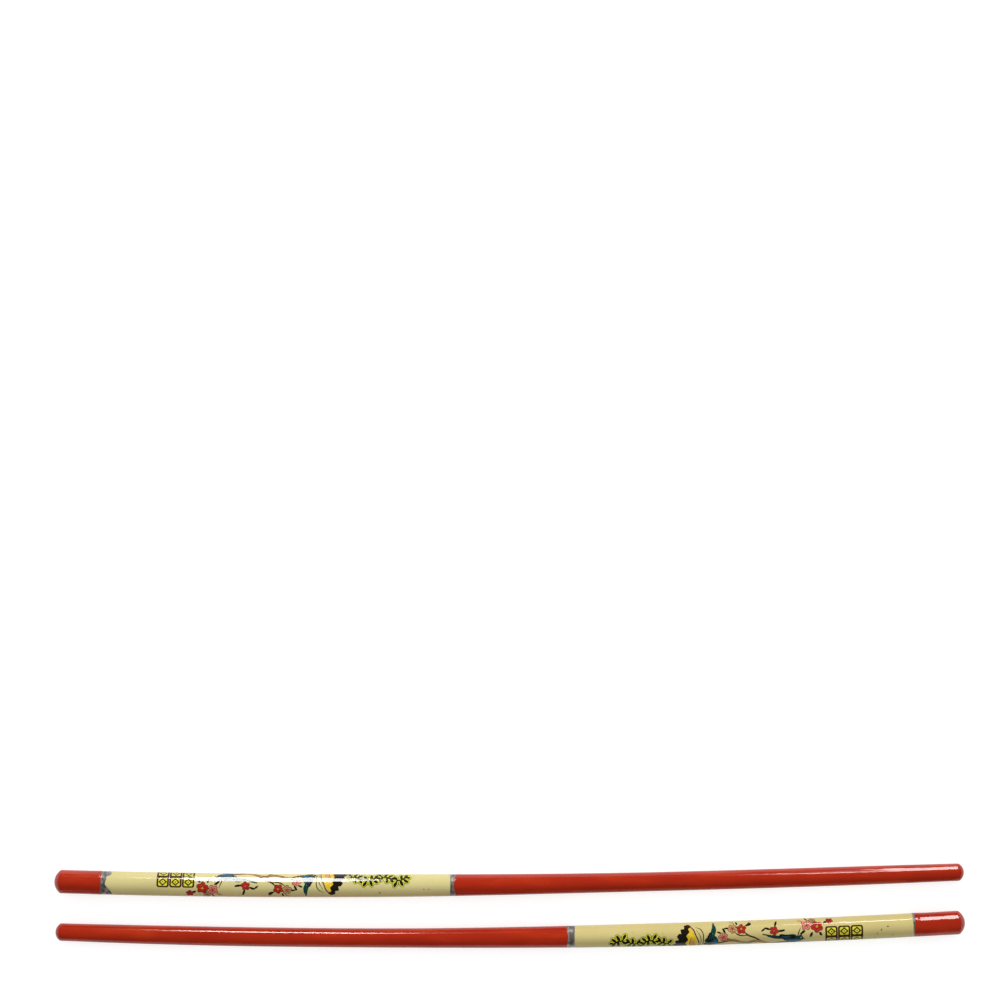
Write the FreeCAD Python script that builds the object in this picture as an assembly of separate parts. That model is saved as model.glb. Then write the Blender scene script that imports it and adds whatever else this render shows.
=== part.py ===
import FreeCAD, Part
import math
import os

# A pair of lacquered bamboo chopsticks. They lie side by side and head to tail on a table, as they
# would come to rest. Each is one turned and sanded piece of bamboo with three coats on it: a red cap
# that the head was dipped in, a printed film round the grip, and red lacquer on the shank. A silver
# ground shows as a narrow sunken band at each end of the film. Bamboo dries a little crooked, so each
# stick has a slight sideways bow, and it lies with that bow flat on the table.
#
# Millimetres. +X runs along the sticks to the right, +Y to the stick at the back, +Z up. The origin is
# on the table, under the middle of the pair. Places along a stick are measured from its head end.

# Bare bamboo, before any coat
LENGTH = 240.0
HEAD_DIAMETER = 6.08
GRIP_DIAMETER = 6.05
GRIP_AT = 58.0
BAND_DIAMETER = 5.70
WAIST_DIAMETER = 5.06
WAIST_PAST_FILM = 41.0
SHANK_DIAMETER = 4.96
SHANK_BEFORE_TIP = 40.0
TIP_DIAMETER = 4.50

# Rounded ends
HEAD_DOME = 1.7
HEAD_EDGE_ROUND = 0.4
TIP_DOME = 1.35
TIP_EDGE_ROUND = 0.9
TURNED_END = 3.5

# Thickness of the coats
CAP_COAT = 0.08
FILM_COAT = 0.06
SHANK_COAT = 0.04

# The stick at the back, with its head to the left
BACK_CAP = 12.1
BACK_FILM_START = 13.9
BACK_FILM_END = 104.5
BACK_BAND = 1.6
BACK_BOW = 2.07
BACK_LEAN = 0.47

# The stick in front, with its head to the right
FRONT_CAP = 13.6
FRONT_FILM_START = 13.9
FRONT_FILM_END = 103.0
FRONT_BAND = 2.1
FRONT_BOW = 2.76
FRONT_LEAN = 0.02

# Distance between the lines through the two sticks' ends, and the angle at which those close in to
# the right
SPACING = 13.3
TOE_IN = 0.08

# The skin of a stick runs straight between round sections about this far apart
SECTION_STEP = 10.0

ALONG = FreeCAD.Vector(1, 0, 0)
ACROSS = FreeCAD.Vector(0, 1, 0)
UP = FreeCAD.Vector(0, 0, 1)
CENTRE = FreeCAD.Vector(0, 0, 0)


class Stick:
    """One chopstick's own sizes, and its centre line and thickness at any place along it."""

    def __init__(self, cap, film_start, film_end, band, bow, lean):
        self.bow = bow
        self.lean = lean
        lacquer_start = film_end + band
        self.coats = [
            (TURNED_END, cap, CAP_COAT),
            (cap, film_start, 0.0),
            (film_start, film_end, FILM_COAT),
            (film_end, lacquer_start, 0.0),
            (lacquer_start, LENGTH - TURNED_END, SHANK_COAT),
        ]
        places = [0.0, GRIP_AT, film_end, film_end + WAIST_PAST_FILM, LENGTH - SHANK_BEFORE_TIP, LENGTH]
        diameters = [
            HEAD_DIAMETER,
            GRIP_DIAMETER,
            BAND_DIAMETER,
            WAIST_DIAMETER,
            SHANK_DIAMETER,
            TIP_DIAMETER,
        ]
        profile = [FreeCAD.Vector(s, d / 2, 0) for s, d in zip(places, diameters)]
        self.taper = Part.BSplineCurve()
        self.taper.interpolate(Points=profile, Parameters=places)

    def radius(self, s, coat):
        return self.taper.value(s).y + coat

    def centre(self, s):
        """The bow: nothing at the two ends, most near the middle, and leaning towards the head."""
        t = 2 * s / LENGTH - 1
        return FreeCAD.Vector(s, (1 - t * t) * (self.bow - self.lean * t), 0)

    def direction(self, s):
        t = 2 * s / LENGTH - 1
        slope = -2 * t * (self.bow - self.lean * t) - (1 - t * t) * self.lean
        return FreeCAD.Vector(1, slope * 2 / LENGTH, 0).normalize()

    def place(self, s):
        """Where a round section or a turned end sits: on the centre line and square to it."""
        return FreeCAD.Placement(self.centre(s), FreeCAD.Rotation(ALONG, self.direction(s)))


def section_places(start, end):
    """Even steps from start to end, each about SECTION_STEP long."""
    steps = max(1, round((end - start) / SECTION_STEP))
    return [start + (end - start) * i / steps for i in range(steps + 1)]


def coated_length(stick, start, end, coat):
    """The stick between two places: a loft through rings square to its bowed centre line."""
    rings = []
    for s in section_places(start, end):
        ring = Part.Circle(CENTRE, ALONG, stick.radius(s, coat)).toShape()
        ring.Placement = stick.place(s)
        rings.append(Part.Wire([ring]))
    return Part.makeLoft(rings, True, True)


def turned_end(radius, dome, edge_round):
    """A domed end, turned about +X. The dome's top is at -TURNED_END, and its flat back is at 0."""
    ball = (radius * radius + dome * dome) / (2 * dome)
    half_angle = math.asin(min(1.0, radius / ball)) / 2
    top = FreeCAD.Vector(-TURNED_END, 0, 0)
    mid_dome = top + FreeCAD.Vector(ball * (1 - math.cos(half_angle)), ball * math.sin(half_angle), 0)
    rim = FreeCAD.Vector(dome - TURNED_END, radius, 0)
    back = FreeCAD.Vector(0, radius, 0)
    outline = Part.Wire(
        [
            Part.Arc(top, mid_dome, rim).toShape(),
            Part.makeLine(rim, back),
            Part.makeLine(back, CENTRE),
            Part.makeLine(CENTRE, top),
        ]
    )
    solid = Part.Face(outline).revolve(CENTRE, ALONG, 360)
    rims = [
        edge
        for edge in solid.Edges
        if abs(edge.BoundBox.XMin - rim.x) < 1e-6 and abs(edge.BoundBox.XMax - rim.x) < 1e-6
    ]
    return solid.makeFillet(min(edge_round, 0.9 * dome), rims)


def chopstick(stick):
    """One whole stick with its head at x = 0, its tip at x = LENGTH and its centre line level."""
    head = turned_end(stick.radius(TURNED_END, CAP_COAT), HEAD_DOME, HEAD_EDGE_ROUND)
    head.Placement = stick.place(TURNED_END)

    tip_start = LENGTH - TURNED_END
    tip = turned_end(stick.radius(tip_start, SHANK_COAT), TIP_DOME, TIP_EDGE_ROUND)
    tip.Placement = stick.place(tip_start).multiply(FreeCAD.Placement(CENTRE, FreeCAD.Rotation(UP, 180)))

    lengths = [coated_length(stick, *zone) for zone in stick.coats]
    joined = head.fuse([*lengths, tip]).removeSplitter()
    if len(joined.Solids) != 1:
        raise ValueError(f"a stick came out as {len(joined.Solids)} pieces")
    return joined.Solids[0]


def laid_on_table(stick, solid):
    """Tips the stick down until it rests on the two places either side of its balance point."""
    stations = []
    for start, end, coat in stick.coats:
        stations += [(s, stick.radius(s, coat)) for s in section_places(start, end)]
    balance = solid.CenterOfMass.x
    head_side = [station for station in stations if station[0] <= balance]
    tip_side = [station for station in stations if station[0] > balance]

    def height_at_balance(pair):
        (near, near_radius), (far, far_radius) = pair
        return near_radius + (far_radius - near_radius) * (balance - near) / (far - near)

    pairs = [(a, b) for a in head_side for b in tip_side]
    (near, near_radius), (far, far_radius) = max(pairs, key=height_at_balance)
    tilt = math.degrees(math.atan((near_radius - far_radius) / (far - near)))
    laid = solid.copy()
    laid.rotate(FreeCAD.Vector(near, 0, 0), ACROSS, tilt)
    laid.translate(UP * -laid.optimalBoundingBox(False, False).ZMin)
    return laid


def pair():
    """Both sticks on the table, the front one turned end for end."""
    back_stick = Stick(BACK_CAP, BACK_FILM_START, BACK_FILM_END, BACK_BAND, -BACK_BOW, -BACK_LEAN)
    front_stick = Stick(FRONT_CAP, FRONT_FILM_START, FRONT_FILM_END, FRONT_BAND, FRONT_BOW, FRONT_LEAN)

    back = laid_on_table(back_stick, chopstick(back_stick))
    back.translate(FreeCAD.Vector(-LENGTH / 2, 0, 0))
    back.rotate(CENTRE, UP, -TOE_IN / 2)
    back.translate(ACROSS * (SPACING / 2))

    front = laid_on_table(front_stick, chopstick(front_stick))
    front.translate(FreeCAD.Vector(-LENGTH / 2, 0, 0))
    front.rotate(CENTRE, UP, 180 + TOE_IN / 2)
    front.translate(ACROSS * (-SPACING / 2))

    box = back.optimalBoundingBox(False, False)
    box.add(front.optimalBoundingBox(False, False))
    middle = FreeCAD.Vector(box.Center.x, box.Center.y, box.ZMin)
    back.translate(middle * -1)
    front.translate(middle * -1)
    return {"back_chopstick": back, "front_chopstick": front}


def main():
    os.makedirs("parts", exist_ok=True)
    for name, solid in pair().items():
        solid.exportStep(os.path.join("parts", name + ".step"))
        box = solid.optimalBoundingBox(False, False)
        print(
            f"{name}: {solid.ShapeType}, valid {solid.isValid()}, {len(solid.Solids)} solid,"
            f" {len(solid.Faces)} faces, {solid.Volume:.1f} mm3,"
            f" x {box.XMin:.3f} to {box.XMax:.3f}, y {box.YMin:.3f} to {box.YMax:.3f},"
            f" z {box.ZMin:.4f} to {box.ZMax:.3f}"
        )


main()
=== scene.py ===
# %% [markdown]
# A pair of lacquered bamboo chopsticks, lying head to tail on a white table.
#
# The construction is already made: two round, slightly bowed sticks at their true size. This lesson
# gives them their coats. On the real thing a stick is turned from bamboo, painted silver, wrapped in
# a printed cream film round the grip, and dipped in red lacquer at both ends. Each coat is modelled
# here as its own thin shell, because the edges where one coat stops are what the eye picks out.
#
# Everything is in metres, in the frame of the construction: +X along the sticks, +Y to the stick at
# the back, +Z up, and the table at z = 0.

# %% Load the construction as a fixed frame
import math
import random

import bpy
import numpy as np
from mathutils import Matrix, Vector


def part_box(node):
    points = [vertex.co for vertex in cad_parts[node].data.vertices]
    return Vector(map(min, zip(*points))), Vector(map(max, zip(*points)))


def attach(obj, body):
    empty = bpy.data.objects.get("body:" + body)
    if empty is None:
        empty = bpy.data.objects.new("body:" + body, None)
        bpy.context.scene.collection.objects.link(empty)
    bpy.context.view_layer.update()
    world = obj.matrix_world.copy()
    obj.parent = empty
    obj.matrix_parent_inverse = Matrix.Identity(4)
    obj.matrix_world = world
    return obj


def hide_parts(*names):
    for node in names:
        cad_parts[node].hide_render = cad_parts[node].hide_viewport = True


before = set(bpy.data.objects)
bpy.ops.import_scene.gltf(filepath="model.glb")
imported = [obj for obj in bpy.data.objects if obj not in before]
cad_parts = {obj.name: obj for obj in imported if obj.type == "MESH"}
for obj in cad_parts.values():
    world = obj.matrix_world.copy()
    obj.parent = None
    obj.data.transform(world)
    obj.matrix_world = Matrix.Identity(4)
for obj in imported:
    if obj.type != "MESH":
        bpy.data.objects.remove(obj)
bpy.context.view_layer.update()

MM = 0.001

# %% [markdown]
# The sticks aren't straight: bamboo dries a little crooked. To lay the coats exactly on them, the
# construction is measured first. A stick is cut across in thought at many places, and a circle is
# fitted to each cut. Its centre gives the bowed centre line, and its radius the taper. Then each
# coat can be modelled straight, as on a lathe, and bent along that line at the end.

# %% Measure a stick: cut it across and fit a circle to the cut
SECTION_GAP = 2.5 * MM
END_MARGIN = 3.6 * MM


def fitted_circle(points):
    """Centre and radius of the circle that best fits (y, z) points, by least squares."""
    sums = np.column_stack([2 * points, np.ones(len(points))])
    y, z, rest = np.linalg.lstsq(sums, (points**2).sum(axis=1), rcond=None)[0]
    return y, z, math.sqrt(rest + y * y + z * z)


def cut_across(corners, triangles, x):
    """Centre and radius of the stick where a plane square to X cuts it."""
    found = []
    for start, end in ((0, 1), (1, 2), (2, 0)):
        a, b = corners[triangles[:, start]], corners[triangles[:, end]]
        crossing = (a[:, 0] - x) * (b[:, 0] - x) < 0
        a, b = a[crossing], b[crossing]
        share = ((x - a[:, 0]) / (b[:, 0] - a[:, 0]))[:, None]
        found.append((a + (b - a) * share)[:, 1:])
    points = np.concatenate(found)
    y, z, radius = fitted_circle(points)
    # The sloping edges of the mesh cut inside the true circle, so only the outer points count
    outer = points[np.hypot(points[:, 0] - y, points[:, 1] - z) > radius]
    return fitted_circle(outer)


class MeasuredStick:
    """The centre line and the radius of one stick, by distance from its head."""

    def __init__(self, node, head_side):
        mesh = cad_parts[node].data
        mesh.calc_loop_triangles()
        self.corners = np.array([v.co for v in mesh.vertices])
        self.triangles = np.array([t.vertices for t in mesh.loop_triangles])
        low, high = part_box(node)
        self.head_x, self.tip_x = (high.x, low.x) if head_side > 0 else (low.x, high.x)
        way = -head_side
        inner = np.arange(END_MARGIN, abs(self.tip_x - self.head_x) - END_MARGIN, SECTION_GAP)
        cuts = [cut_across(self.corners, self.triangles, self.head_x + way * d) for d in inner]
        middle = [Vector((self.head_x + way * d, y, z)) for d, (y, z, _) in zip(inner, cuts)]
        first = middle[0] + (middle[0] - middle[1]) * (END_MARGIN / SECTION_GAP)
        last_gap = abs(self.tip_x - middle[-1].x)
        last = middle[-1] + (middle[-1] - middle[-2]) * (last_gap / SECTION_GAP)
        self.line = [first, *middle, last]
        steps = [(b - a).length for a, b in zip(self.line, self.line[1:])]
        self.places = np.concatenate([[0], np.cumsum(steps)])
        self.length = float(self.places[-1])
        self.radii = np.array([r for _, _, r in cuts])

    def radius(self, place):
        """Radius at a distance from the head, measured along the centre line."""
        x = np.interp(place, self.places, [point.x for point in self.line])
        return cut_across(self.corners, self.triangles, float(x))[2]


STICKS = {
    "back": MeasuredStick("back_chopstick", head_side=-1),
    "front": MeasuredStick("front_chopstick", head_side=1),
}
for side, stick in STICKS.items():
    bow = max(abs(p.y - (stick.line[0].y + stick.line[-1].y) / 2) for p in stick.line)
    print(f"{side}: {stick.length / MM:.2f} mm long, bowed by {bow / MM:.2f} mm")

# %% [markdown]
# The camera comes early, so that every later step can be looked at. It looks straight down from
# where the photographer stood: the pair lies low in the picture, and turned by half a degree. The
# long lens keeps both ends at the same size.

# %% The camera
CAMERA_AT = (-1.43 * MM, 107.3 * MM, 772.6 * MM)
CAMERA_ROLL = -0.603
bpy.ops.object.camera_add(location=CAMERA_AT, rotation=(0, 0, math.radians(CAMERA_ROLL)))
camera = bpy.context.object
camera.data.sensor_width = 36
camera.data.lens = 105
bpy.context.scene.camera = camera
bpy.context.scene.view_settings.view_transform = "Standard"
print("the camera is", round(CAMERA_AT[2] / MM), "mm above the table")

# %% [markdown]
# The coats stop at known distances from the head, taken where their edges cross the top of the
# stick. The lacquered cap comes first, then a narrow band where the silver ground shows, the printed
# film, a second silver band, and the red shank. The sticks were dipped by hand, so the two differ.

# %% Where each coat starts and stops
COATS = {
    "back": {"cap": 12.5 * MM, "film": (14.5 * MM, 104.4 * MM), "shank": 105.5 * MM},
    "front": {"cap": 13.6 * MM, "film": (13.7 * MM, 103.0 * MM), "shank": 104.85 * MM},
}
COAT = 0.15 * MM
HEAD_DOME = 1.7 * MM
HEAD_EDGE_ROUND = 0.22 * MM
TIP_DOME = 1.35 * MM
TIP_EDGE_ROUND = 0.55 * MM
SIDES = 96
DOME_RINGS = 10
RING_GAP = 0.5 * MM
WELD = 0.0005 * MM
LIP = 0.35 * MM
# Behind each dome, from the end: the first ring of the side, the first place with a measured radius,
# and the place whose radius the dome's rim takes
FIRST_RING = 2.4 * MM
FIRST_MEASURED = 3.7 * MM
RIM_TAKEN_AT = 4 * MM


def rings(start, end, gap=RING_GAP):
    """Even steps from start to end, as places for rings."""
    count = max(2, round((end - start) / gap) + 1)
    return [float(place) for place in np.linspace(start, end, count)]


def dome(radius, height):
    """Points of a shallow round end, from its top on the axis to its rim."""
    ball = (radius**2 + height**2) / (2 * height)
    reach = math.asin(radius / ball)
    turns = [reach * i / DOME_RINGS for i in range(DOME_RINGS + 1)]
    return [(ball - ball * math.cos(turn), ball * math.sin(turn)) for turn in turns]


print("silver shows for", [round((c["shank"] - c["film"][1]) / MM, 1) for c in COATS.values()], "mm")

# %% [markdown]
# A round coat is made the way a turner would think of it: draw half of its outline, then spin that
# line about the axis. The outline starts as a plane merged to one point, which is extruded from
# point to point. Spinning leaves doubled points on the axis, so these are merged, and the normals
# are recalculated, because a spin can leave a shape inside out.

# %% Helpers: a fresh selection, and a turned piece from an outline
def deselect_all():
    if bpy.context.object and bpy.context.object.mode != "OBJECT":
        bpy.ops.object.mode_set(mode="OBJECT")
    bpy.ops.object.select_all(action="DESELECT")


def make_active(piece):
    deselect_all()
    piece.select_set(True)
    bpy.context.view_layer.objects.active = piece


def point_piece(name, start):
    """A new mesh of one point, in edit mode, ready to be extruded."""
    deselect_all()
    bpy.ops.mesh.primitive_plane_add(size=MM)
    piece = bpy.context.object
    piece.name = name
    bpy.ops.object.mode_set(mode="EDIT")
    bpy.ops.mesh.merge(type="CENTER")
    bpy.ops.transform.translate(value=start)
    return piece


def extrude_along(points):
    for here, there in zip(points, points[1:]):
        bpy.ops.mesh.extrude_region_move(TRANSFORM_OT_translate={"value": there - here})


def select_points(piece, chosen):
    """In edit mode, selects only the vertices that chosen(vertex) is true for."""
    bpy.ops.mesh.select_all(action="DESELECT")
    bpy.ops.object.mode_set(mode="OBJECT")
    for v in piece.data.vertices:
        v.select = bool(chosen(v))
    bpy.ops.object.mode_set(mode="EDIT")


def turned(name, outline, closed, rounded=()):
    """Spins an outline of (distance, radius) points about the X axis."""
    points = [Vector((distance, 0, radius)) for distance, radius in outline]
    piece = point_piece(name, points[0])
    extrude_along(points)
    if closed:
        last = len(points) - 1
        select_points(piece, lambda v: v.index in (0, last))
        bpy.ops.mesh.edge_face_add()
    for (distance, radius), size in rounded:
        corner = Vector((distance, 0, radius))
        select_points(piece, lambda v: (v.co - corner).length < 0.001 * MM)
        bpy.ops.mesh.bevel(affect="VERTICES", offset=size, segments=6)
    bpy.ops.mesh.select_all(action="SELECT")
    bpy.ops.mesh.spin(
        steps=SIDES, angle=2 * math.pi, center=(0, 0, 0), axis=(1, 0, 0), use_auto_merge=True
    )
    bpy.ops.mesh.select_all(action="SELECT")
    bpy.ops.mesh.remove_doubles(threshold=WELD)
    bpy.ops.mesh.normals_make_consistent(inside=False)
    bpy.ops.object.mode_set(mode="OBJECT")
    return piece


# %% [markdown]
# Where a dipped coat stops, the wet edge pulls back into a rounded lip, and it wanders round the
# stick. The lip is part of the outline. The wandering is a sum of slow waves, and it moves only the
# last rings, so that the rest of the coat stays as it was turned.

# %% Helpers: the lip of a coat, and an edge that wanders
def lip_outline(stick, edge, away):
    """A coat's rounded edge. away is +1 where the coat lies past the edge, and -1 before it."""
    near = stick.radius(edge + away * 0.8 * MM)
    return [
        (edge + away * LIP, near),
        (edge + away * 0.6 * LIP, near - 0.004 * MM),
        (edge + away * 0.3 * LIP, near - 0.018 * MM),
        (edge + away * 0.1 * LIP, near - 0.045 * MM),
        (edge, near - 0.085 * MM),
        (edge, near - COAT),
    ]


def wander(piece, edge, reach, waves):
    """Moves the rings near an edge along the stick. A wave is (size, times round, turn)."""
    for v in piece.data.vertices:
        near = 1 - abs(v.co.x - edge) / reach
        if near > 0:
            turn = math.atan2(v.co.y, v.co.z)
            shift = sum(size * math.cos(times * (turn - start)) for size, times, start in waves)
            v.co.x += shift * near * near * (3 - 2 * near)


# %% [markdown]
# Thick lacquer doesn't dry flat. It sags into long soft ripples, which show only as a wobble in the
# highlight. They are real relief here: a Displace modifier with a cloud texture, which an empty
# stretches along the stick. The vertex group keeps it off the inner wall of each shell and off its
# lip, and the middle level of 1 lets it only sink the surface, so that no coat grows past the
# construction.

# %% Helper: ripples in a coat
CALM_BY_LIP = 0.6 * MM
RIPPLE_FADE = 2 * MM
SKIN_SHARE = 0.6


def on_skin(v, stick):
    """True where a vertex of a straight coat lies on its outer face, and not on its inner wall."""
    full = np.interp(v.co.x, stick.places[1:-1], stick.radii)
    return math.hypot(v.co.y, v.co.z) > full - SKIN_SHARE * COAT


def ripple(piece, stick, edge, depth, scale, stretch):
    """Sinks the outer skin of a coat by up to depth, in ripples of that scale."""
    skin = piece.vertex_groups.new(name="skin")
    for v in piece.data.vertices:
        share = min(1.0, (abs(v.co.x - edge) - CALM_BY_LIP) / RIPPLE_FADE)
        if share > 0 and on_skin(v, stick):
            skin.add([v.index], share, "REPLACE")
    clouds = bpy.data.textures.new(piece.name + "_ripple", "CLOUDS")
    clouds.noise_scale = 1.0
    clouds.noise_depth = 1
    ruler = bpy.data.objects.new(piece.name + "_ruler", None)
    bpy.context.scene.collection.objects.link(ruler)
    ruler.scale = (scale * stretch, scale, scale)
    bpy.context.view_layer.update()
    make_active(piece)
    sink = piece.modifiers.new("ripple", "DISPLACE")
    sink.texture = clouds
    sink.texture_coords = "OBJECT"
    sink.texture_coords_object = ruler
    sink.vertex_group = "skin"
    sink.mid_level = 1.0
    sink.strength = depth
    bpy.ops.object.modifier_apply(modifier="ripple")
    bpy.data.objects.remove(ruler)


# %% [markdown]
# A stick isn't perfectly round either. Where the sander pressed a little harder it left a flat, less
# than a tenth of a millimetre deep. Nobody sees the flat itself, but a round stick squeezes a
# lamp's reflection into a thin line, and a flat spreads it into a broad band.

# %% Helper: sanded flats
# Turn of the flat where it starts and ends, and half its width, in degrees. Then, in millimetres from
# the head, where it starts, where it is full, where it begins to fade, and where it ends.
FLATS = {
    "back": [((38.5, 38.5), 14, 33, 37.5, 72, 94), ((44, 37), 13, 166, 200, 238, 244)],
    "front": [((-38, -38), 12, -2, 3, 12, 15)],
}


def flat_sink(side, radius, place, turn):
    """How far the flats of a stick lie under its round surface at one point."""
    sink = 0.0
    for turns, half, start, full, fading, end in FLATS[side]:
        share = np.interp(place, [p * MM for p in (start, full, fading, end)], [0, 1, 1, 0])
        middle = np.interp(place, (start * MM, end * MM), turns)
        width = math.radians(half) * share
        off = abs(turn - math.radians(middle))
        if off < width:
            sink = radius * (1 - math.cos(width) / math.cos(off))
    return sink


def flatten(piece, side):
    for v in piece.data.vertices:
        if on_skin(v, STICKS[side]):
            radius = math.hypot(v.co.y, v.co.z)
            turn = math.atan2(v.co.y, v.co.z)
            left = 1 - flat_sink(side, radius, v.co.x, turn) / radius
            v.co = (v.co.x, v.co.y * left, v.co.z * left)


# %% [markdown]
# The last helper is the bow. A Curve modifier carries a straight piece along a line. The line here
# is the measured centre line, so a coat ends up on its stick to a few hundredths of a millimetre.
# Z_UP keeps the top of the piece on top all along.

# %% Helper: bend a straight piece along its stick
SMOOTH_BELOW = math.radians(35)


def centre_line(side):
    """The stick's measured centre line as a curve object, from head to tip."""
    curve = bpy.data.curves.new(side + "_line", "CURVE")
    curve.dimensions = "3D"
    curve.twist_mode = "Z_UP"
    run = curve.splines.new("POLY")
    run.points.add(len(STICKS[side].line) - 1)
    for point, place in zip(run.points, STICKS[side].line):
        point.co = (*place, 1)
    line = bpy.data.objects.new(side + "_line", curve)
    bpy.context.scene.collection.objects.link(line)
    return line


def bend_and_finish(piece, side):
    """Bends the piece onto its stick, smooths it, and hands it to the frame."""
    line = centre_line(side)
    make_active(piece)
    bend = piece.modifiers.new("bow", "CURVE")
    bend.object = line
    bend.deform_axis = "POS_X"
    bpy.ops.object.modifier_apply(modifier="bow")
    bpy.data.objects.remove(line)
    bpy.ops.object.shade_smooth_by_angle(angle=SMOOTH_BELOW)
    piece.vertex_groups.clear()
    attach(piece, "root")
    print(f"{piece.name}: {len(piece.data.polygons)} faces")
    return piece


# %% [markdown]
# Under everything is the bamboo itself, painted silver. Only two narrow bands of it show, so its
# outline follows the construction there. Everywhere else it lies lower than any flat and ripple in
# the coat over it, so that it never comes through.

# %% The silver painted core
UNDER_LACQUER = 0.5 * MM
UNDER_FILM = 2.0 * MM
CORE_DEPTH = 0.9 * COAT
CORE_RING_GAP = 4 * MM
BAND_RING_GAP = 0.4 * MM
CORE_HEAD_WIDTH = 0.96
CORE_TIP_WIDTH = 0.94


def make_core(side):
    stick, coats = STICKS[side], COATS[side]
    film_start, film_end = coats["film"]
    here = RIM_TAKEN_AT
    head = dome(stick.radius(here), HEAD_DOME)[1:]
    outline = [(CORE_DEPTH, 0.0)]
    outline += [(CORE_DEPTH + d, r * CORE_HEAD_WIDTH) for d, r in head]
    bands = [
        (coats["cap"] - UNDER_LACQUER, film_start + UNDER_FILM),
        (film_end - UNDER_FILM, coats["shank"] + UNDER_LACQUER),
    ]
    for (start, end), bare in zip(bands, [(coats["cap"], film_start), (film_end, coats["shank"])]):
        level = stick.radius(sum(bare) / 2)
        run = rings(here, start - LIP, CORE_RING_GAP)
        outline += [(s, stick.radius(s) - CORE_DEPTH) for s in run]
        outline += [(s, level) for s in rings(start, end, BAND_RING_GAP)]
        here = end + LIP
    tip_rim = stick.length - RIM_TAKEN_AT
    outline += [(s, stick.radius(s) - CORE_DEPTH) for s in rings(here, tip_rim, CORE_RING_GAP)]
    tip = dome(stick.radius(tip_rim), TIP_DOME)[1:]
    outline += [(stick.length - CORE_DEPTH - d, r * CORE_TIP_WIDTH) for d, r in reversed(tip)]
    outline += [(stick.length - CORE_DEPTH, 0.0)]
    core = turned(side + "_silver_ground", outline, closed=False)
    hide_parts(side + "_chopstick")
    return bend_and_finish(core, side)


cores = {side: make_core(side) for side in STICKS}

# %% [markdown]
# The cap is a shell: down over the dome, along to its lip, and back inside along the bamboo. Its
# rim is beveled where the dome meets the side. The ripples are strongest here, because the head was
# the last part to drip.

# %% The red lacquered caps
CAP_EDGE_WAVES = {
    "back": [(0.05 * MM, 1, 1.6), (0.03 * MM, 3, 0.4)],
    "front": [(0.18 * MM, 1, 1.57), (0.04 * MM, 2, 1.0)],
}
CAP_RING_GAP = 0.3 * MM
CAP_INSIDE_WIDTH = 0.93
INSIDE_RIM = (3 * MM, 0.97)


def make_cap(side):
    stick, edge = STICKS[side], COATS[side]["cap"]
    rim = stick.radius(RIM_TAKEN_AT)
    outside = dome(rim, HEAD_DOME)
    outline = outside[:-1] + [(HEAD_DOME, rim)]
    run = rings(FIRST_RING, edge - MM, CAP_RING_GAP)
    outline += [(s, stick.radius(max(s, FIRST_MEASURED))) for s in run]
    outline += lip_outline(stick, edge, -1)
    inside_from, narrower = INSIDE_RIM
    outline += [(inside_from, rim - COAT), (HEAD_DOME, (rim - COAT) * narrower)]
    outline += [(d + COAT, r * CAP_INSIDE_WIDTH) for d, r in reversed(outside[:-2])]
    cap = turned(side + "_red_cap", outline, False, [((HEAD_DOME, rim), HEAD_EDGE_ROUND)])
    wander(cap, edge, 1.2 * MM, CAP_EDGE_WAVES[side])
    flatten(cap, side)
    ripple(cap, stick, edge, depth=0.06 * MM, scale=1.6 * MM, stretch=2.2)
    return bend_and_finish(cap, side)


caps = {side: make_cap(side) for side in STICKS}

# %% [markdown]
# The printed film is a sleeve. It was cut clean at both ends, but on the back stick the lacquer of
# the first dip has lifted its edge, which is now scalloped. The sleeve lies a hair lower than the
# construction, so that the inks on it don't stand out past the stick's true size.

# %% The cream printed films
FILM_EDGE_WAVES = {
    "back": [(0.8 * MM, 3, 1.18), (0.15 * MM, 1, -1.75), (0.08 * MM, 9, 0.3)],
    "front": [(0.03 * MM, 1, 0.0)],
}
FILM_END_WAVES = [(0.06 * MM, 1, 0.8), (0.03 * MM, 3, 0.0)]
INK_ROOM = 0.014 * MM
INNER_RING_GAP = 4 * MM


def make_film(side):
    stick = STICKS[side]
    start, end = COATS[side]["film"]
    outline = list(reversed(lip_outline(stick, start, 1)))
    outline += [(s, stick.radius(s)) for s in rings(start + MM, end - MM, MM)]
    outline += lip_outline(stick, end, -1)
    inner_run = rings(start + MM, end - MM, INNER_RING_GAP)
    outline += [(s, stick.radius(s) - COAT) for s in reversed(inner_run)]
    outline = [(s, r - INK_ROOM) for s, r in outline]
    film = turned(side + "_cream_film", outline, closed=True)
    wander(film, start, 2.2 * MM, FILM_EDGE_WAVES[side])
    wander(film, end, 1.0 * MM, FILM_END_WAVES)
    flatten(film, side)
    return bend_and_finish(film, side)


films = {side: make_film(side) for side in STICKS}

# %% [markdown]
# The shank is the longest dip. It is a shell like the cap, turned the other way, and its tip is
# rounder than the head, because the turner broke the edge more where it meets the mouth.

# %% The red lacquered shanks
SHANK_EDGE_WAVES = {
    "back": [(0.2 * MM, 3, 1.2), (0.04 * MM, 7, 0.5)],
    "front": [(0.18 * MM, 3, 0.92), (0.04 * MM, 8, 0.3)],
}
SHANK_INSIDE_WIDTH = 0.92
SHANK_INSIDE_END = 5 * MM


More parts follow.
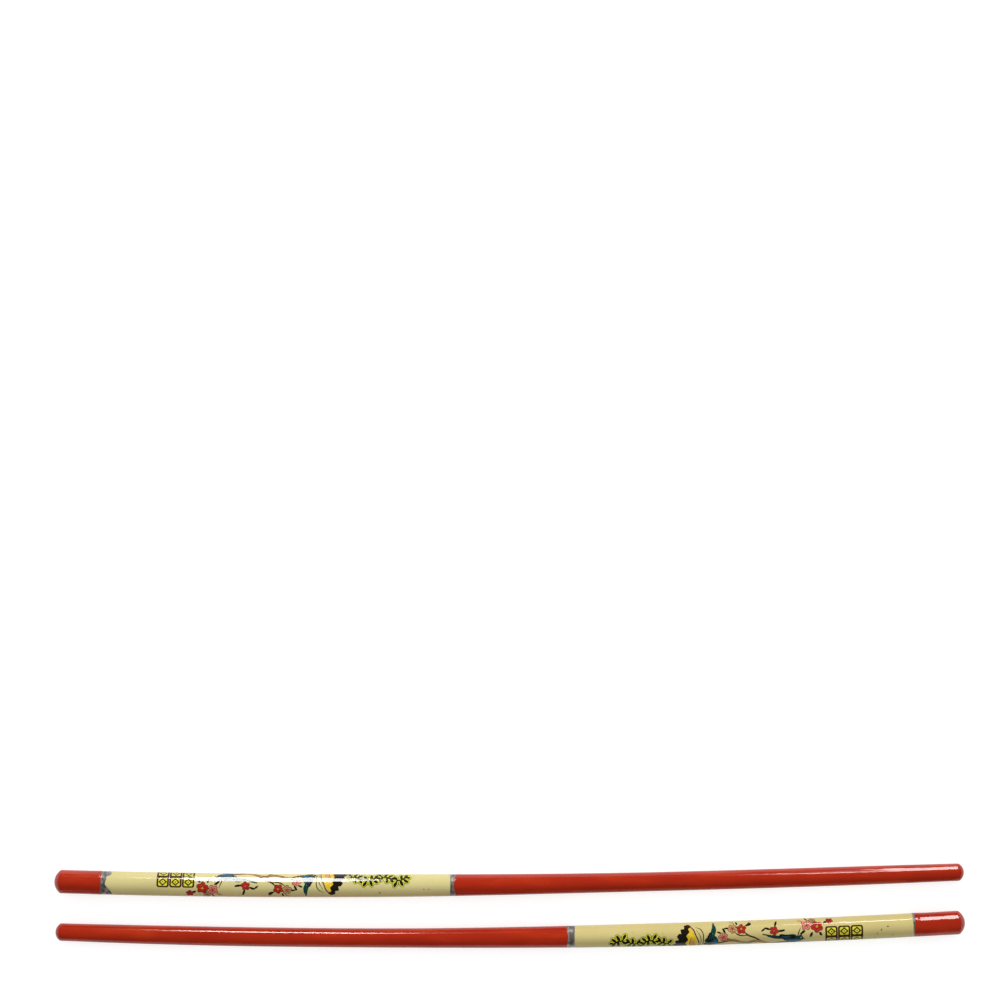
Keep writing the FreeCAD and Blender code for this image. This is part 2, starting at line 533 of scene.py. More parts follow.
def make_shank(side):
    stick, edge = STICKS[side], COATS[side]["shank"]
    end = stick.length
    rim = stick.radius(end - RIM_TAKEN_AT)
    rim_at = end - TIP_DOME
    outside = [(end - d, r) for d, r in reversed(dome(rim, TIP_DOME))]
    outline = list(reversed(lip_outline(stick, edge, 1)))
    run = rings(edge + MM, end - FIRST_RING)
    outline += [(s, stick.radius(min(s, end - FIRST_MEASURED))) for s in run]
    outline += [(rim_at, rim)] + outside[1:]
    outline += [(d - COAT, r * SHANK_INSIDE_WIDTH) for d, r in reversed(outside[2:])]
    outline += [(rim_at - 2 * MM, rim - COAT)]
    inner_run = rings(edge + MM, end - SHANK_INSIDE_END, INNER_RING_GAP)
    outline += [(s, stick.radius(s) - COAT) for s in reversed(inner_run)]
    shank = turned(side + "_red_shank", outline, True, [((rim_at, rim), TIP_EDGE_ROUND)])
    wander(shank, edge, 1.2 * MM, SHANK_EDGE_WAVES[side])
    flatten(shank, side)
    ripple(shank, stick, edge, depth=0.03 * MM, scale=2.4 * MM, stretch=4.0)
    return bend_and_finish(shank, side)


shanks = {side: make_shank(side) for side in STICKS}

# %% [markdown]
# Now the print. It is drawn flat first, like the artwork for the film, and wrapped round the stick
# at the end. On this flat sheet x is the distance from the head and y is the distance round the
# stick, both in millimetres. Every shape is a chip of ink a few thousandths of a millimetre thick,
# and an ink printed later lies a little higher, so that it covers the one before.

# %% Helpers: chips of ink
INK_STEP = 0.006 * MM
INK_UNDER = 0.012 * MM
artwork = {}


def keep_ink(piece, ink):
    make_active(piece)
    bpy.ops.object.mode_set(mode="EDIT")
    bpy.ops.mesh.select_all(action="SELECT")
    bpy.ops.mesh.normals_make_consistent(inside=False)
    bpy.ops.object.mode_set(mode="OBJECT")
    artwork.setdefault(ink, []).append(piece)


def thicken(piece, ink, layer):
    """Gives a flat shape its thickness, and keeps it with the others of its ink."""
    make_active(piece)
    bpy.ops.object.transform_apply(location=True, rotation=True, scale=True)
    rise = INK_UNDER + INK_STEP * (layer + 1)
    bpy.ops.object.mode_set(mode="EDIT")
    bpy.ops.mesh.select_all(action="SELECT")
    bpy.ops.transform.translate(value=(0, 0, -INK_UNDER))
    bpy.ops.mesh.extrude_region_move(TRANSFORM_OT_translate={"value": (0, 0, rise)})
    bpy.ops.object.mode_set(mode="OBJECT")
    keep_ink(piece, ink)


def spot(ink, layer, at, length, width, turn=0.0, corners=18):
    """An oval of ink, with its long side turned away from the stick by turn degrees."""
    deselect_all()
    bpy.ops.mesh.primitive_circle_add(
        vertices=corners,
        radius=0.5 * MM,
        fill_type="NGON",
        location=(at[0] * MM, at[1] * MM, 0),
        rotation=(0, 0, math.radians(turn)),
    )
    piece = bpy.context.object
    piece.scale = (length, width, 1)
    thicken(piece, ink, layer)


def plate(ink, layer, at, length, width, corner):
    """A rectangle of ink with rounded corners."""
    deselect_all()
    bpy.ops.mesh.primitive_plane_add(size=MM, location=(at[0] * MM, at[1] * MM, 0))
    piece = bpy.context.object
    piece.scale = (length, width, 1)
    bpy.ops.object.transform_apply(location=False, rotation=False, scale=True)
    bpy.ops.object.mode_set(mode="EDIT")
    bpy.ops.mesh.bevel(affect="VERTICES", offset=corner * MM, segments=4)
    thicken(piece, ink, layer)


def drawn(points, closed, handles="AUTOMATIC"):
    """A curve through the points, smooth unless its handles are VECTOR ones."""
    places = [Vector((x * MM, y * MM, 0)) for x, y in points]
    piece = point_piece("ink", places[0])
    extrude_along(places)
    if closed:
        last = len(places) - 1
        select_points(piece, lambda v: v.index in (0, last))
        bpy.ops.mesh.edge_face_add()
    bpy.ops.object.mode_set(mode="OBJECT")
    bpy.ops.object.convert(target="CURVE")
    piece = bpy.context.object
    bpy.ops.object.mode_set(mode="EDIT")
    bpy.ops.curve.select_all(action="SELECT")
    bpy.ops.curve.spline_type_set(type="BEZIER")
    bpy.ops.curve.handle_type_set(type=handles)
    bpy.ops.object.mode_set(mode="OBJECT")
    piece.data.resolution_u = 5
    return piece


def patch(ink, layer, points, handles="AUTOMATIC"):
    """A filled shape with its outline through the points."""
    piece = drawn(points, True, handles)
    piece.data.dimensions = "2D"
    piece.data.fill_mode = "BOTH"
    bpy.ops.object.convert(target="MESH")
    thicken(bpy.context.object, ink, layer)


def stroke(ink, layer, points, width, ends=0.4):
    """A brush stroke, thinner where the brush lands and lifts."""
    piece = drawn(points, closed=False)
    piece.data.dimensions = "3D"
    piece.data.twist_mode = "Z_UP"
    piece.data.bevel_depth = 0.5 * width * MM
    piece.data.bevel_resolution = 1
    piece.data.use_fill_caps = True
    beads = piece.data.splines[0].bezier_points
    beads[0].radius = ends
    beads[-1].radius = ends
    bpy.ops.object.convert(target="MESH")
    piece = bpy.context.object
    top = INK_STEP * (layer + 1)
    for v in piece.data.vertices:
        v.co.z = top if v.co.z > -0.002 * width * MM else -INK_UNDER
    keep_ink(piece, ink)


def placed(points, at, size=1.0, turn=0.0, flip=1):
    """A motif's own points, grown, mirrored, turned and moved to their place on the sheet."""
    c, s = math.cos(math.radians(turn)), math.sin(math.radians(turn))
    grown = [(x * size, y * size * flip) for x, y in points]
    return [(at[0] + c * x - s * y, at[1] + s * x + c * y) for x, y in grown]


print("inks lie", INK_STEP / MM, "mm apart")

# %% [markdown]
# The first motif from the head is a block of lozenge tiles, two rows of three. On a dark plate with
# round corners each tile has a yellow-green plate, and on that three lozenges, each smaller than the
# one before. A lozenge is a spot with only four corners. What is left of a lower shape becomes an
# outline.

# %% A block of lozenge tiles
TILE_COLUMNS = (28.85, 32.2, 35.55)
TILE_ROWS = (-1.42, 1.42)
LOZENGES = [("brown", 2, 2.3, 2.05), ("lime", 3, 1.3, 1.15), ("brown", 4, 0.45, 0.4)]
for column in TILE_COLUMNS:
    plate("brown", 0, (column, 0), 3.25, 5.7, 0.6)
    for row in TILE_ROWS:
        plate("lime", 1, (column, row), 2.3, 2.05, 0.3)
        for ink, layer, length, width in LOZENGES:
            spot(ink, layer, (column, row), length, width, corners=4)
print("tiles:", len(TILE_COLUMNS) * len(TILE_ROWS))

# %% [markdown]
# The picture is a blossoming branch with two birds and a rock, an old and common theme. A blossom
# is five oval petals round a yellow heart. Each petal lies on a slightly larger dark oval, which
# gives it an outline.

# %% Blossoms and leaves
dice = random.Random(7)


def beside(at, reach, way):
    """The point that lies reach away from another, in the direction way."""
    return (at[0] + reach * math.cos(way), at[1] + reach * math.sin(way))


def blossom(ink, at, radius, turn, heart):
    for k in range(5):
        way = math.radians(turn + 72 * k)
        middle = beside(at, 0.52 * radius * dice.uniform(0.92, 1.08), way)
        size = radius * dice.uniform(0.92, 1.05)
        lean = math.degrees(way) + dice.uniform(-12, 12)
        spot("black", 1, middle, size * 1.06 + 0.2, size * 0.82 + 0.2, lean)
        spot(ink, 2, middle, size, size * 0.78, lean)
        stroke("brown", 3, [at, middle, beside(at, 0.75 * radius, way)], 0.16)
    spot(heart, 3, at, 0.42 * radius, 0.36 * radius, turn)
    for k in range(4):
        spot("black", 3, beside(at, 0.4 * radius, math.radians(turn + 36 + 90 * k)), 0.14, 0.12)


def leaf(ink, layer, at, length, width, turn):
    half = width / length / 2
    far_side = [(0, 0), (0.28, half * 0.9), (0.62, half * 0.8)]
    near_side = [(1, 0), (0.6, -half), (0.25, -half * 0.8)]
    patch(ink, layer, placed(far_side + near_side, at, length, turn))


# Ink, place, radius, turn, and the heart's ink
BLOSSOMS = [
    ("red", (36.0, -4.5), 0.95, 20, "brown"),
    ("red", (39.3, -2.9), 1.55, 10, "yellow"),
    ("pink", (42.0, -3.4), 1.35, 40, "red"),
    ("tan", (40.5, -5.0), 0.9, 5, "yellow"),
    ("red", (50.6, -2.2), 1.1, 25, "pink"),
    ("red", (59.2, -3.0), 1.3, 55, "yellow"),
    ("tan", (61.5, -3.2), 1.2, 15, "red"),
    ("pink", (64.0, -1.0), 1.15, 70, "red"),
]
# Foot of the leaf, length, width and turn
DARK_LEAVES = [
    ((37.6, -3.7), 1.7, 0.7, 215), ((38.7, -1.5), 1.2, 0.7, 120), ((40.6, -1.5), 1.5, 0.7, 70),
    ((42.4, -2.0), 1.7, 0.6, 35), ((41.8, -4.9), 1.5, 0.5, -60), ((50.4, -3.2), 1.9, 0.6, 255),
    ((51.6, -2.6), 1.6, 0.6, -15), ((49.6, -2.0), 1.9, 0.6, 190), ((53.0, -2.9), 1.2, 0.5, 40),
    ((56.6, -4.8), 1.3, 0.6, 40), ((58.0, -3.8), 1.5, 0.5, 200), ((60.2, -4.2), 1.3, 0.5, -70),
    ((62.5, -3.4), 1.3, 0.5, 10), ((63.4, -2.0), 1.5, 0.6, -60), ((64.5, -2.0), 1.2, 0.5, -20),
    ((56.9, 1.7), 1.3, 0.5, 30),
]
for flower in BLOSSOMS:
    blossom(*flower)
for dark_leaf in DARK_LEAVES:
    leaf("black", 1, *dark_leaf)
leaf("tan", 1, (43.0, -4.4), 1.6, 0.8, -25)
print("inks so far:", {ink: len(pieces) for ink, pieces in artwork.items()})

# %% [markdown]
# The branch is a few brush strokes. A stroke is a beveled curve whose ends are thinner, made a mesh
# and pressed flat. The tan stroke on top of the brown one is the light on the bark.

# %% The branch
BRANCH = [
    (44.4, 2.0), (48.0, 1.5), (51.5, 1.8), (55.0, 0.5),
    (58.5, 0.9), (62.0, 0.0), (65.5, 0.9), (69.4, 0.8),
]
stroke("brown", 0, BRANCH, 0.75, 0.3)
stroke("tan", 1, [(x + 0.2, y - 0.12) for x, y in BRANCH[1:-1]], 0.3, 0.3)
TWIGS = [
    ([(43.6, 0.2), (43.5, -1.0), (42.9, -2.2)], 0.4),
    ([(44.6, 0.4), (44.2, -1.4), (43.6, -2.8)], 0.3),
    ([(53.4, 1.0), (55.6, -0.5), (57.6, -1.4), (58.6, -2.4)], 0.45),
    ([(57.2, -1.3), (59.8, -1.4), (61.2, -2.4)], 0.38),
    ([(60.0, 0.6), (61.8, -0.1), (63.4, -0.7)], 0.4),
    ([(50.4, 1.5), (49.6, 2.4), (48.2, 3.0)], 0.4),
    ([(56.4, 0.8), (57.6, 2.2), (59.6, 2.8)], 0.4),
    ([(58.3, -3.8), (57.6, -4.3), (56.8, -5.4)], 0.3),
    ([(61.0, -4.2), (61.4, -5.0), (62.4, -5.4)], 0.28),
]
for points, width in TWIGS:
    stroke("brown", 0, points, width)

# %% [markdown]
# A bird is drawn once, lying along the x axis with its bill at 0 and its tail at 1, and then placed
# twice. Body, breast and wing are patches. The tail and the feathers are strokes.

# %% Two birds
BIRD_BODY = [
    (0.05, 0.0), (0.07, 0.07), (0.13, 0.1), (0.19, 0.07), (0.28, 0.09), (0.42, 0.06), (0.56, 0.02),
    (0.52, -0.05), (0.42, -0.1), (0.3, -0.12), (0.19, -0.1), (0.11, -0.06),
]
BIRD_BREAST = [(0.1, -0.04), (0.17, -0.02), (0.28, -0.04), (0.38, -0.08), (0.3, -0.11), (0.18, -0.09)]
BIRD_WING = [(0.24, 0.05), (0.38, 0.05), (0.62, 0.0), (0.48, -0.02), (0.32, -0.03), (0.25, 0.0)]
BIRD_TAIL = [
    [(0.44, 0.02), (0.7, -0.02), (1.0, -0.02)],
    [(0.44, -0.03), (0.68, -0.05), (0.88, -0.04)],
]
BIRD_FEATHERS = [
    [(0.34, 0.03), (0.46, 0.015), (0.58, 0.0)],
    [(0.32, -0.005), (0.42, -0.01), (0.52, -0.02)],
]


def bird(at, length, fatness, turn, flip):
    def here(points):
        return placed([(x, y * fatness) for x, y in points], at, length, turn, flip)

    for feather in BIRD_TAIL:
        stroke("teal", 0, here(feather), 0.045 * length * fatness, 0.5)
    patch("teal", 1, here(BIRD_BODY))
    patch("blue", 2, here(BIRD_BREAST))
    patch("black", 2, here(BIRD_WING))
    for feather in BIRD_FEATHERS:
        stroke("blue", 3, here(feather), 0.016 * length, 0.5)
    stroke("black", 1, here([(0.0, 0.01), (0.045, 0.03), (0.09, 0.03)]), 0.03 * length * fatness, 0.2)
    spot("yellow", 3, here([(0.105, 0.045)])[0], 0.022 * length * fatness, 0.022 * length * fatness)


bird((42.5, 0.7), length=11.4, fatness=1.15, turn=-12, flip=-1)
bird((67.6, 2.3), length=7.6, fatness=2.3, turn=-96, flip=1)

# %% [markdown]
# The rock is a yellow patch with a dark, broken side, and thin grass arches over it.

# %% The rock
patch(
    "yellow", 1,
    [(70.9, 2.6), (70.8, 0.6), (71.5, -1.6), (72.4, -3.4), (73.8, -3.9), (74.6, -2.4), (74.2, -0.6),
     (74.6, 1.2), (74.4, 2.7)],
)
patch(
    "black", 2,
    [(74.1, 2.9), (77.0, 2.9), (77.7, 2.1), (76.9, 1.8), (77.3, 1.0), (76.5, 0.7), (76.7, -0.3),
     (75.7, -0.5), (76.2, -1.5), (75.6, -2.2), (75.0, -2.2), (75.2, -3.3), (74.2, -3.5), (74.2, -4.5),
     (73.1, -4.9), (72.3, -4.2), (73.2, -3.4), (72.8, -2.6), (73.7, -1.6), (73.2, -0.5), (74.0, 0.6),
     (73.5, 1.6)],
    "VECTOR",
)
patch("tan", 3, [(71.4, 1.9), (71.5, 0.6), (72.2, -0.4), (72.6, 0.8), (72.2, 2.0)])
stroke("brown", 2, [(70.6, 2.5), (70.4, 0.5), (71.2, -1.7), (72.2, -3.7), (73.6, -4.3)], 0.3, 0.5)
stroke("brown", 2, [(72.3, 2.5), (72.8, 0.6), (72.4, -1.2)], 0.22)
stroke("black", 0, [(69.9, 2.4), (69.2, -0.4), (69.7, -3.0), (71.2, -3.9)], 0.24)
stroke("brown", 0, [(70.2, 2.2), (69.9, -1.0), (71.0, -3.1)], 0.2)

# %% [markdown]
# Four leafy sprigs fill the last stretch of the print. Each stem and leaf is brushed three times,
# olive, yellow-green and dark, and narrower each time, so that a pale rim runs round the whole sprig.

# %% Four sprigs
# Place, turn and flip of each sprig
SPRIGS = [
    ((79.7, 0.15), -12, 1), ((83.8, -0.15), 9, -1), ((87.8, 0.15), -4, 1), ((91.7, -0.15), 14, -1),
]
SPRIG_STEM = [(-1.9, 1.0), (-1.2, 0.2), (-0.2, 0.3), (0.6, 0.0), (1.4, -0.2)]
# Foot of the leaf, length and turn
SPRIG_LEAVES = [
    ((-1.6, 0.55), 1.5, 128), ((-1.2, 0.1), 1.5, -118), ((-0.6, 0.35), 1.7, 74), ((-0.1, 0.1), 1.6, -80),
    ((0.4, 0.3), 1.5, 48), ((0.8, -0.1), 1.5, -48), ((1.2, -0.1), 1.1, 10),
]
# Ink and how far it reaches past the dark shape, from the lowest ink to the highest
SPRIG_INKS = [("olive", 0.85), ("lime", 0.45), ("black", 0.0)]


def sprig(at, turn, flip):
    stem = placed(SPRIG_STEM, at, 1.0, turn, flip)
    for layer, (ink, margin) in enumerate(SPRIG_INKS):
        stroke(ink, layer, stem, 0.46 + margin, 0.7)
        for foot, length, lean in SPRIG_LEAVES:
            root = beside(foot, -0.4 * margin, math.radians(lean))
            root = placed([root], at, 1.0, turn, flip)[0]
            leaf(ink, layer, root, length + 0.8 * margin, 0.82 + margin, turn + flip * lean)


for at, turn, flip in SPRIGS:
    sprig(at, turn, flip)
print("inks drawn:", {ink: len(pieces) for ink, pieces in artwork.items()})

# %% [markdown]
# To bend smoothly, a flat chip needs edges to bend along. Each ink is joined into one piece, which
# is cut along the stick every quarter of a millimetre and across it every two. Then each point is
# carried round the stick: its y becomes an angle, and its height is added to the film's radius.

# %% Wrap the print round both sticks
PRINT_TURN = {"back": math.radians(45), "front": math.radians(31)}
PRINT_RADIUS = 3.07 * MM
CUT_ALONG = 0.25
CUT_ACROSS = 2.0


def joined_ink(ink):
    deselect_all()
    for piece in artwork[ink]:
        piece.select_set(True)
    bpy.context.view_layer.objects.active = artwork[ink][0]
    bpy.ops.object.join()
    sheet = bpy.context.object
    xs = [v.co.x / MM for v in sheet.data.vertices]
    ys = [v.co.y / MM for v in sheet.data.vertices]
    bpy.ops.object.mode_set(mode="EDIT")
    for y in np.arange(math.ceil(min(ys) / CUT_ALONG) * CUT_ALONG, max(ys), CUT_ALONG):
        bpy.ops.mesh.select_all(action="SELECT")
        bpy.ops.mesh.bisect(plane_co=(0, y * MM, 0), plane_no=(0, 1, 0))
    for x in np.arange(math.ceil(min(xs) / CUT_ACROSS) * CUT_ACROSS, max(xs), CUT_ACROSS):
        bpy.ops.mesh.select_all(action="SELECT")
        bpy.ops.mesh.bisect(plane_co=(x * MM, 0, 0), plane_no=(1, 0, 0))
    bpy.ops.mesh.select_all(action="SELECT")
    bpy.ops.mesh.remove_doubles(threshold=WELD)
    bpy.ops.object.mode_set(mode="OBJECT")
    return sheet


def wrap(sheet, side):
    stick = STICKS[side]
    for v in sheet.data.vertices:
        radius = np.interp(v.co.x, stick.places[1:-1], stick.radii) - INK_ROOM
        turn = PRINT_TURN[side] + v.co.y / PRINT_RADIUS
        radius += v.co.z - flat_sink(side, radius, v.co.x, turn)
        v.co = (v.co.x, radius * math.sin(turn), radius * math.cos(turn))


prints = {}
for ink in artwork:
    sheet = joined_ink(ink)
    for side in STICKS:
        make_active(sheet)
        bpy.ops.object.duplicate()
        piece = bpy.context.object
        piece.name = f"{side}_print_{ink}"
        piece.data.name = piece.name
        wrap(piece, side)
        prints[side, ink] = bend_and_finish(piece, side)
    bpy.data.objects.remove(sheet)

# %% [markdown]
# Each stick also has marks of its own: pits with dirt in them on the film, and one blister in the
# lacquer near the tip of the back stick, where a bubble of air was caught under the dip.

# %% Pits and a blister
# Distance from the head, place round the stick, length and width, in millimetres
PITS = {
    "back": [(85.9, -4.1, 0.5, 0.4), (97.5, -3.1, 0.32, 0.28), (98.8, -3.1, 0.36, 0.3)],
    "front": [
        (20.7, -2.1, 0.5, 0.36), (22.4, -1.3, 0.3, 0.6), (23.5, -0.3, 0.26, 0.44),
        (19.4, 0.4, 0.36, 0.26), (24.2, 0.9, 0.3, 0.3), (59.0, -4.4, 0.34, 0.26),
    ],
}
for side, pits in PITS.items():
    artwork.clear()
    for s, w, length, width in pits:
        spot("dirt", 0, (s, w), length, width)
    sheet = joined_ink("dirt")
    sheet.name = f"{side}_pits"
    wrap(sheet, side)
    prints[side, "dirt"] = bend_and_finish(sheet, side)

BLISTER_AT = 229.0 * MM
BLISTER_TURN = math.radians(52)
BLISTER_SUNK = 0.02 * MM
BLISTER_RADIUS = 0.42 * MM
BLISTER_SHAPE = (1.2, 0.9, 0.2)
skin_radius = STICKS["back"].radius(BLISTER_AT) - BLISTER_SUNK
deselect_all()
bpy.ops.mesh.primitive_uv_sphere_add(
    segments=20,
    ring_count=10,
    radius=BLISTER_RADIUS,
    location=(BLISTER_AT, skin_radius * math.sin(BLISTER_TURN), skin_radius * math.cos(BLISTER_TURN)),
    rotation=(-BLISTER_TURN, 0, 0),
)
blister = bpy.context.object
blister.name = "back_blister"
blister.scale = BLISTER_SHAPE
bpy.ops.object.transform_apply(location=True, rotation=True, scale=True)
bend_and_finish(blister, "back")

# %% [markdown]
# Finishes next. All are made of the same few things: a colour that drifts a little, a gloss that
# isn't even, and a fine bump. The helper below adds one node with its settings and its links at
# once, which keeps the recipes short.

# %% Helper: a finish as a chain of nodes
def linear(red, green, blue):
    """A screen colour from 0 to 255 as the linear colour that a shader takes."""
    parts = [c / 255 for c in (red, green, blue)]
    return (*[p / 12.92 if p < 0.04045 else ((p + 0.055) / 1.055) ** 2.4 for p in parts], 1.0)


# Under a clear gloss the colour itself is matt, so that only the gloss mirrors the lamps
MATT = {"Roughness": 0.5, "Specular_IOR_Level": 0.0}


class Finish:
    def __init__(self, name, **settings):
        self.material = bpy.data.materials.new(name)
        self.material.use_nodes = True
        self.tree = self.material.node_tree
        self.shader = self.tree.nodes["Principled BSDF"]
        self.place = self.tree.nodes.new("ShaderNodeTexCoord").outputs["Object"]
        self.set(self.shader, settings)

    def plug(self, socket, value):
        """Fills an input, with a link from another node or with a constant."""
        if isinstance(value, bpy.types.NodeSocket):
            self.tree.links.new(value, socket)
        else:
            socket.default_value = value

    def set(self, node, settings):
        for name, value in settings.items():
            self.plug(node.inputs[name.replace("_", " ")], value)

    def add(self, kind, out=0, **settings):
        node = self.tree.nodes.new("ShaderNode" + kind)
        self.set(node, settings)
        return node.outputs[out]

    def noise(self, size, stretch=1.0, detail=2.0, rough=0.5):
        """Noise whose lumps are about size millimetres wide, and longer along the stick."""
        long = self.add("Mapping", Vector=self.place, Scale=(1 / stretch, 1, 1))
        return self.add("TexNoise", Vector=long, Scale=1 / (size * MM), Detail=detail, Roughness=rough)

    def ramp(self, factor, *stops):
        """Turns a factor into colours or values. A stop is (position, colour)."""
        output = self.add("ValToRGB", Fac=factor)
        ramp = output.node.color_ramp
        while len(ramp.elements) < len(stops):
            ramp.elements.new(0.5)
        for element, (position, colour) in zip(ramp.elements, stops):
            element.position = position
            element.color = colour
        return output

    def grey(self, factor, low_at, low, high_at, high):
        """A factor turned into a plain value between low and high."""
        return self.ramp(factor, (low_at, (low, low, low, 1)), (high_at, (high, high, high, 1)))

    def mix(self, factor, first, second):
        node = self.tree.nodes.new("ShaderNodeMix")
        node.data_type = "RGBA"
        for index, value in ((0, factor), (6, first), (7, second)):
            self.plug(node.inputs[index], value)
        return node.outputs[2]

    def specks(self, size, spacing, share, stretch=1.0):
        """1 in small round specks. Only a share of them shows."""
        long = self.add("Mapping", Vector=self.place, Scale=(1 / stretch, 1, 1))
        node = self.tree.nodes.new("ShaderNodeTexVoronoi")
        self.set(node, {"Vector": long, "Scale": 1 / (spacing * MM)})
        near = self.grey(node.outputs["Distance"], 0.5 * size / spacing, 1.0, 0.8 * size / spacing, 0.0)
        pick = self.grey(node.outputs["Color"], 1 - share - 0.01, 0.0, 1 - share + 0.01, 1.0)
        return self.times(near, pick)

    def times(self, first, second):
        node = self.tree.nodes.new("ShaderNodeMath")
        node.operation = "MULTIPLY"
        self.plug(node.inputs[0], first)
        self.plug(node.inputs[1], second)
        return node.outputs[0]

    def bump(self, height, depth, below=None):
        """Relief of the given depth in millimetres, on top of another bump if there is one."""
        node = self.tree.nodes.new("ShaderNodeBump")
        node.inputs["Distance"].default_value = depth * MM
        self.tree.links.new(height, node.inputs["Height"])
        if below is not None:
            self.tree.links.new(below, node.inputs["Normal"])
        return node.outputs["Normal"]

    def relief(self, normal):
        """Gives the colour and the clear gloss over it the same relief."""
        self.set(self.shader, {"Normal": normal, "Coat Normal": normal})


# %% [markdown]
# Red lacquer is a deep orange red, a little browner where it lies thick. It is very smooth, but
# never flat: long sags and a fine skin like orange peel bend the reflections.

# %% Red lacquer
def red_lacquer():
    red = Finish("red_lacquer", **MATT, Coat_Weight=0.75, Coat_Roughness=0.1, Coat_IOR=1.5)
    body = red.ramp(
        red.noise(3.0, stretch=5.0, detail=3.0),
        (0.3, linear(168, 37, 14)),
        (0.55, linear(178, 43, 15)),
        (0.75, linear(190, 54, 20)),
    )
    dust = red.specks(0.16, 1.6, 0.16)
    body = red.mix(dust, body, linear(96, 30, 20))
    sags = red.bump(red.noise(3.6, stretch=5.0, detail=1.0), 0.04)
    red.relief(red.bump(red.noise(0.7, stretch=3.0, detail=1.0), 0.003, sags))
    red.set(red.shader, {"Base Color": body})
    return red.material


RED = red_lacquer()
for piece in [*caps.values(), *shanks.values(), blister]:
    piece.data.materials.append(RED)

# %% [markdown]
# The film is a warm cream with a glossy varnish, a little browner on the stick in front. Handling has
# marked it with fine dark specks, and with faint grey scuffs that run round the stick.

# %% Cream film, and the inks under the same varnish
VARNISH = {**MATT, "Coat_Weight": 0.6, "Coat_Roughness": 0.09, "Coat_IOR": 1.5}


def varnish_relief(finish):
    """The varnish is shared by the film and its inks, so its relief runs on from one to the other."""
    waves = finish.bump(finish.noise(5.0, stretch=4.0, detail=1.0), 0.03)
    finish.relief(finish.bump(finish.noise(0.6, stretch=3.0, detail=1.0), 0.0015, waves))


CREAMS = {
    "back": ((214, 201, 138), (224, 212, 148)),
    "front": ((211, 195, 128), (221, 206, 139)),
}


def cream_film(side):
    cream = Finish(side + "_cream", **VARNISH)
    body = cream.ramp(
        cream.noise(6.0, stretch=3.0, detail=3.0),
        (0.3, linear(*CREAMS[side][0])),
        (0.7, linear(*CREAMS[side][1])),
    )
    scuffs = cream.grey(cream.noise(1.6, stretch=0.5, detail=3.0), 0.64, 0.0, 0.8, 0.3)
    body = cream.mix(scuffs, body, linear(150, 138, 100))
    dust = cream.specks(0.2, 2.2, 0.12)
    body = cream.mix(dust, body, linear(74, 58, 36))
    cream.set(cream.shader, {"Base Color": body})
    varnish_relief(cream)
    return cream.material


INKS = {
    "lime": (206, 206, 58),
    "olive": (116, 120, 44),
    "brown": (66, 34, 18),
    "black": (26, 20, 14),
    "red": (176, 40, 34),
    "pink": (214, 124, 106),
    "tan": (186, 142, 96),
    "yellow": (222, 186, 44),
    "teal": (18, 60, 54),
    "blue": (20, 88, 112),
    "dirt": (96, 78, 50),
}


def ink_finish(name, colour):
    ink = Finish("ink_" + name, **VARNISH)
    paler = tuple(min(255, c * 1.12 + 6) for c in colour)
    body = ink.ramp(ink.noise(0.8, detail=2.0), (0.35, linear(*colour)), (0.7, linear(*paler)))
    ink.set(ink.shader, {"Base Color": body})
    varnish_relief(ink)
    return ink.material


for side, film in films.items():
    film.data.materials.append(cream_film(side))
INK_FINISHES = {name: ink_finish(name, colour) for name, colour in INKS.items()}
for (side, ink), piece in prints.items():
    piece.data.materials.clear()
    piece.data.materials.append(INK_FINISHES[ink])

# %% [markdown]
# Silver paint is brushed on and never even. It is part metal and part plain grey, with dark rubbed
# marks, and it is glossier where it is pale.

# %% Silver ground
def silver_ground():
    silver = Finish("silver_ground", Metallic=0.4, Roughness=0.4)
    marks = silver.noise(1.3, stretch=0.6, detail=2.5, rough=0.5)
    body = silver.ramp(
        marks,
        (0.34, linear(84, 79, 76)),
        (0.5, linear(128, 122, 118)),
        (0.68, linear(172, 166, 160)),
    )
    gloss = silver.grey(marks, 0.35, 0.55, 0.65, 0.3)
    grain = silver.bump(marks, 0.015)
    silver.set(silver.shader, {"Base Color": body, "Roughness": gloss, "Normal": grain})
    return silver.material


SILVER = silver_ground()
for core in cores.values():
    core.data.materials.append(SILVER)

# %% [markdown]
# The table is a white sheet that runs past every edge of the picture. A white that is lit plainly
# would come out pale grey, so for the camera and for mirrors it glows a little on top of what it
# reflects. Its own share still takes the sticks' shadow.

# %% A white table, and a white room
def seen_directly(tree):
    """1 for camera, glossy and transmission rays, and 0 for the light that falls on things."""
    path = tree.nodes.new("ShaderNodeLightPath")
    total = path.outputs["Is Camera Ray"]
    for name in ("Is Glossy Ray", "Is Transmission Ray"):
        more = tree.nodes.new("ShaderNodeMath")
        more.operation = "MAXIMUM"
        tree.links.new(total, more.inputs[0])
        tree.links.new(path.outputs[name], more.inputs[1])
        total = more.outputs[0]
    return total


PAPER = (0.6, 0.6, 0.6, 1)
PAPER_GLOW = 0.7
WHITE = (1, 1, 1, 1)
TABLE_WIDTH = 6
deselect_all()
bpy.ops.mesh.primitive_plane_add(size=TABLE_WIDTH)
floor = bpy.context.object
floor.name = "floor"
paper = Finish("white_paper", Base_Color=PAPER, Roughness=0.9, Emission_Color=WHITE)
glow = paper.times(seen_directly(paper.tree), PAPER_GLOW)
paper.set(paper.shader, {"Emission Strength": glow})
floor.data.materials.append(paper.material)

# Light on things: some from all round, more from the bright side, and never less than the least
LIGHT_FROM = (0, 0.6, 0.8)
ALL_ROUND = 0.31
BRIGHT_SIDE = 0.65
LEAST = 0.05
# What gloss mirrors: pale walls low down, and a dim ceiling from a certain height
WALLS = 0.4
CEILING = 0.08
WALLS_TO = 0.05
CEILING_FROM = 0.3
world = bpy.data.worlds.new("white_room")
bpy.context.scene.world = world
world.use_nodes = True


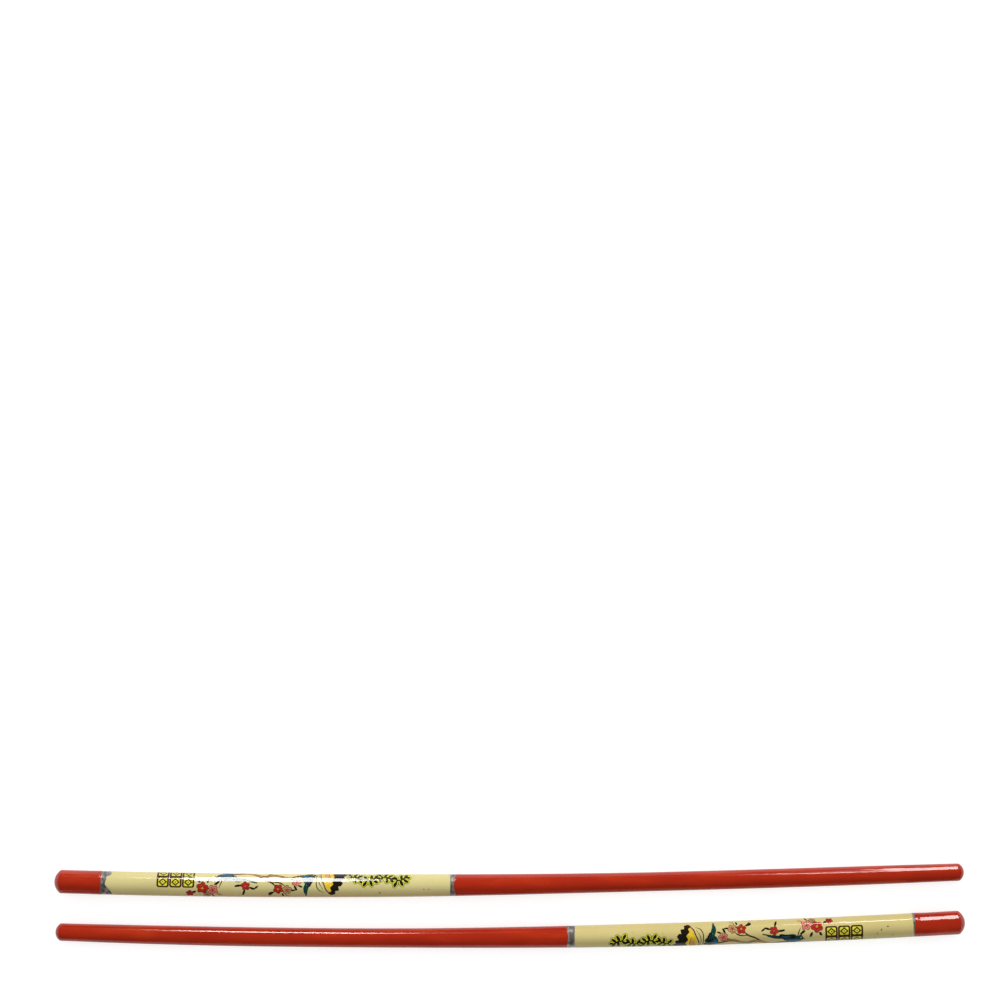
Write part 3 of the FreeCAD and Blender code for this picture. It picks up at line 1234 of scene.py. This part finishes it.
def sky_node(kind, operation=None, values=(), **links):
    """Adds a node to the world. values are (input, number), and links are input=socket."""
    node = world.node_tree.nodes.new("ShaderNode" + kind)
    if operation:
        node.operation = operation
    for index, value in values:
        node.inputs[index].default_value = value
    for index, socket in links.items():
        world.node_tree.links.new(socket, node.inputs[int(index[1:])])
    return node


way = sky_node("TexCoord").outputs["Generated"]
toward = sky_node("VectorMath", "DOT_PRODUCT", [(1, LIGHT_FROM)], i0=way).outputs["Value"]
fill = sky_node("Math", "MULTIPLY_ADD", [(1, BRIGHT_SIDE), (2, ALL_ROUND)], i0=toward).outputs[0]
fill = sky_node("Math", "MAXIMUM", [(1, LEAST)], i0=fill).outputs[0]
height = sky_node("SeparateXYZ", i0=way).outputs["Z"]
fading = [(1, WALLS_TO), (2, CEILING_FROM), (3, WALLS), (4, CEILING)]
walls = sky_node("MapRange", values=fading, i0=height).outputs[0]
either = world.node_tree.nodes.new("ShaderNodeMix")
world.node_tree.links.new(seen_directly(world.node_tree), either.inputs[0])
world.node_tree.links.new(fill, either.inputs[2])
world.node_tree.links.new(walls, either.inputs[3])
world.node_tree.links.new(either.outputs[0], world.node_tree.nodes["Background"].inputs["Strength"])
world.node_tree.nodes["Background"].inputs["Color"].default_value = WHITE

# %% [markdown]
# Two small soft boxes stand behind the pair, low and apart. Their reflections are the long
# highlights: one on the left half of both sticks and one on the right, with a plain stretch between.
# The rest of the light comes from the room, which is brightest behind and above the pair.

# %% Lamps
# The sticks mirror a lamp to the camera at this share of the lamp's own x
MIRRORED_AT = 0.56


def soft_box(name, at, width, height, power):
    """An area lamp at a place given in millimetres, aimed at the pair beside it."""
    deselect_all()
    place = Vector(at) * MM
    bpy.ops.object.light_add(type="AREA", location=place)
    lamp = bpy.context.object
    lamp.name = name
    lamp.data.shape = "RECTANGLE"
    lamp.data.size = width * MM
    lamp.data.size_y = height * MM
    lamp.data.energy = power
    target = Vector((place.x * MIRRORED_AT, 0, 0))
    lamp.rotation_euler = (target - place).to_track_quat("-Z", "Y").to_euler()


soft_box("left_box", (-97, 552, 234), width=88, height=95, power=0.95)
soft_box("right_box", (165, 552, 234), width=105, height=90, power=0.65)
